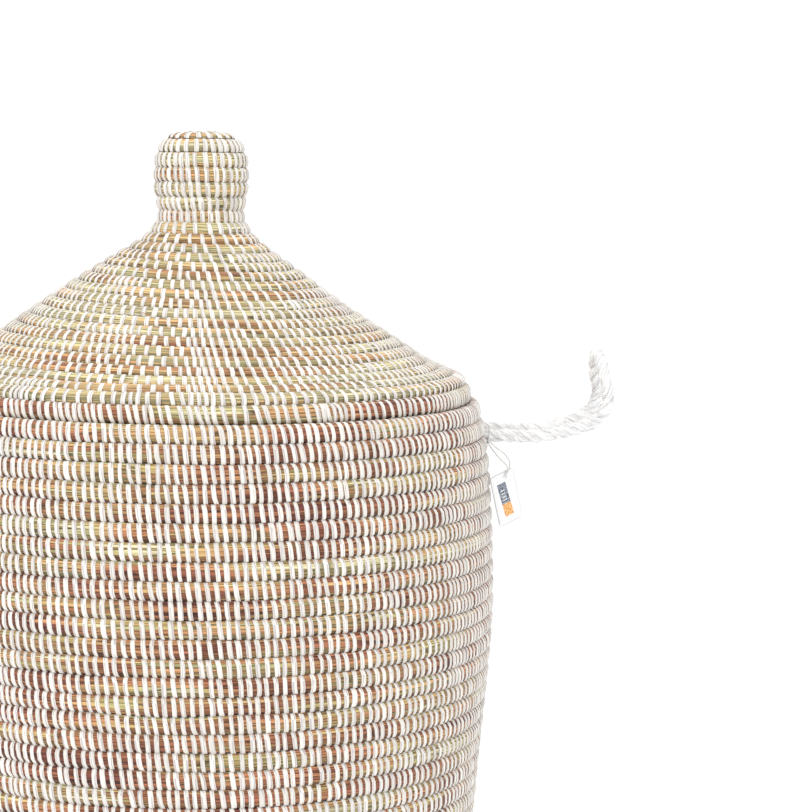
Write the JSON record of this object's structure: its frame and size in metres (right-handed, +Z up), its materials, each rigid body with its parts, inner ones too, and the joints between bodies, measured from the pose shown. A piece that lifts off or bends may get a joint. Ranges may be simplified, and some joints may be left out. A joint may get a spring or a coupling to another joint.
{
  "type": "laundry basket",
  "caption": "Lidded laundry hamper of coiled grass stitched with plastic strips, with a conical lid, a hollow knob, two rope loop handles and a hang tag.",
  "frame": {"origin": "centre of the foot, on the surface that the basket stands on, under the middle of its bounding box without the hang tag", "axes": "+Z up along the basket's axis, handles on +X and -X, and the hang tag at the front of the +X handle"},
  "size_m": [0.6012, 0.4298, 0.6461],
  "materials": {
    "grass_coil": "matte",
    "white_plastic": "satin",
    "tag_card": "matte",
    "tag_string": "matte"
  },
  "bodies": {
    "basket": {"base_button": "grass_coil", "base_inner_courses": "grass_coil", "base_outer_courses": "grass_coil", "foot_course": "grass_coil", "wall_courses_02_to_08": "grass_coil", "wall_courses_09_to_15": "grass_coil", "wall_courses_16_to_22": "grass_coil", "wall_courses_23_to_29": "grass_coil", "wall_courses_30_to_35": "grass_coil", "rim_course": "grass_coil", "right_handle_anchors": "white_plastic", "left_handle_anchors": "white_plastic"},
    "lid": {"lid_edge_course": "grass_coil", "lid_locating_ring": "grass_coil", "lid_courses_01_to_06": "grass_coil", "lid_courses_07_to_12": "grass_coil", "lid_courses_13_to_19": "grass_coil", "knob_courses_01_to_03": "grass_coil", "knob_courses_04_to_07": "grass_coil", "knob_button": "grass_coil"},
    "right_handle": {"right_handle_rope": "white_plastic"},
    "left_handle": {"left_handle_rope": "white_plastic"},
    "hang_tag": {"tag_string_upper": "tag_string", "tag_string_lower": "tag_string", "tag_card": "tag_card"}
  },
  "joints": [
    {"name": "lid_lift", "type": "slide", "parent": "basket", "child": "lid", "axis": [0, 0, 1], "range_m": [0, 0.3]},
    {"name": "right_handle_swing", "type": "hinge", "parent": "basket", "child": "right_handle", "pos_m": [0.213, 0, 0.4296], "axis": [0, -1, 0], "range_deg": [-70, 50]},
    {"name": "left_handle_swing", "type": "hinge", "parent": "basket", "child": "left_handle", "pos_m": [-0.213, 0, 0.4296], "axis": [0, 1, 0], "range_deg": [-70, 50]},
    {"name": "tag_swing", "type": "hinge", "parent": "basket", "child": "hang_tag", "pos_m": [0.2079, -0.0314, 0.425], "axis": [0, -1, 0], "range_deg": [0, 75]}
  ]
}
